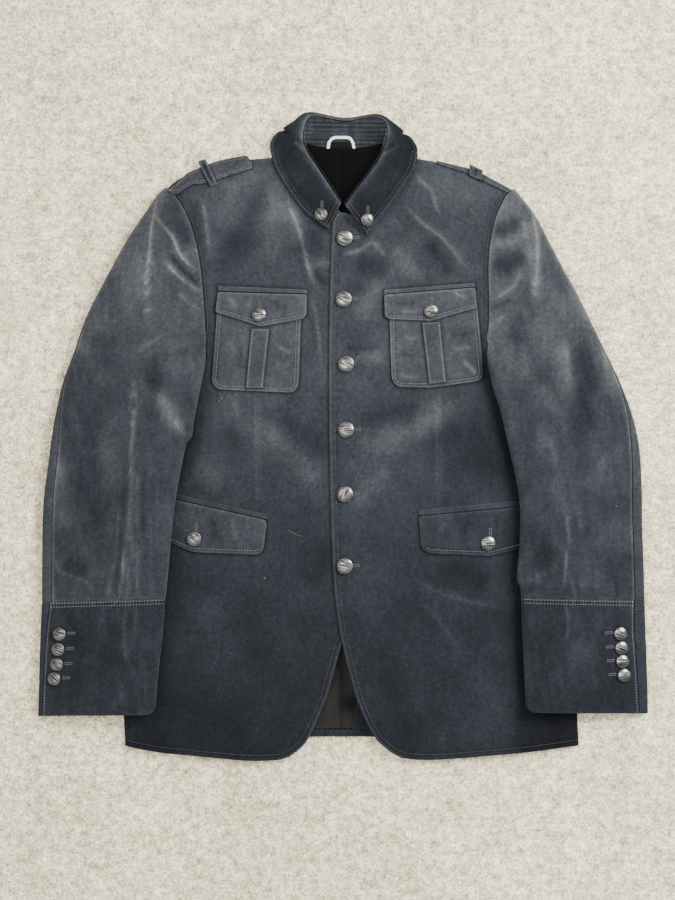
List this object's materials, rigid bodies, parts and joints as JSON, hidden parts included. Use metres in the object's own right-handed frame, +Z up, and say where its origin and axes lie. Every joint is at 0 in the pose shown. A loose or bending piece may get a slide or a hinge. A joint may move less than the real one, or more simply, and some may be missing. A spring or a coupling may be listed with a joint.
{
  "type": "velvet blazer jacket",
  "caption": "Velvet tailored jacket laid flat on its back: stand-and-fall collar, epaulettes, flap pockets, buttoned cuffs, rounded front hem.",
  "frame": {"origin": "on the flat underside of the back, where the garment rests, under the middle of its laid outline", "axes": "+Z up off the floor, +Y from hem to collar, +X to the wearer's left (the side that laps over)"},
  "size_m": [0.7322, 0.7791, 0.0356],
  "materials": {
    "velvet": "cotton velvet, dark blue-grey, short nap with a pale sheen",
    "lining": "black satin lining",
    "button": "antique silver with dark streaks",
    "label": "plain woven tape without text, white on the loop and dark on the label"
  },
  "bodies": {
    "root": {"back_hem_facing": "velvet", "back_left": "velvet", "back_lining": "lining", "back_right": "velvet", "button_chest_left": "button", "button_chest_right": "button", "button_collar_left": "button", "button_collar_right": "button", "button_cuff_left_1": "button", "button_cuff_left_2": "button", "button_cuff_left_3": "button", "button_cuff_left_4": "button", "button_cuff_right_1": "button", "button_cuff_right_2": "button", "button_cuff_right_3": "button", "button_cuff_right_4": "button", "button_front_1": "button", "button_front_2": "button", "button_front_3": "button", "button_front_4": "button", "button_front_5": "button", "button_front_6": "button", "button_hip_left": "button", "button_hip_right": "button", "chest_flap_left": "velvet", "chest_flap_right": "velvet", "chest_pleat_left": "velvet", "chest_pleat_right": "velvet", "chest_pocket_left": "velvet", "chest_pocket_right": "velvet", "chest_welt_left": "velvet", "chest_welt_right": "velvet", "collar_fall": "velvet", "collar_stand": "velvet", "cuff_top_left": "velvet", "cuff_top_right": "velvet", "cuff_under_left": "velvet", "cuff_under_right": "velvet", "epaulette_left": "velvet", "epaulette_loop_left": "velvet", "epaulette_loop_right": "velvet", "epaulette_right": "velvet", "front_left": "velvet", "front_right": "velvet", "hanger_loop": "label", "hip_flap_left": "velvet", "hip_flap_right": "velvet", "hip_welt_left": "velvet", "hip_welt_right": "velvet", "neck_label": "label", "sleeve_top_left": "velvet", "sleeve_top_right": "velvet", "sleeve_under_left": "velvet", "sleeve_under_right": "velvet", "vent_facing": "velvet"}
  },
  "joints": []
}
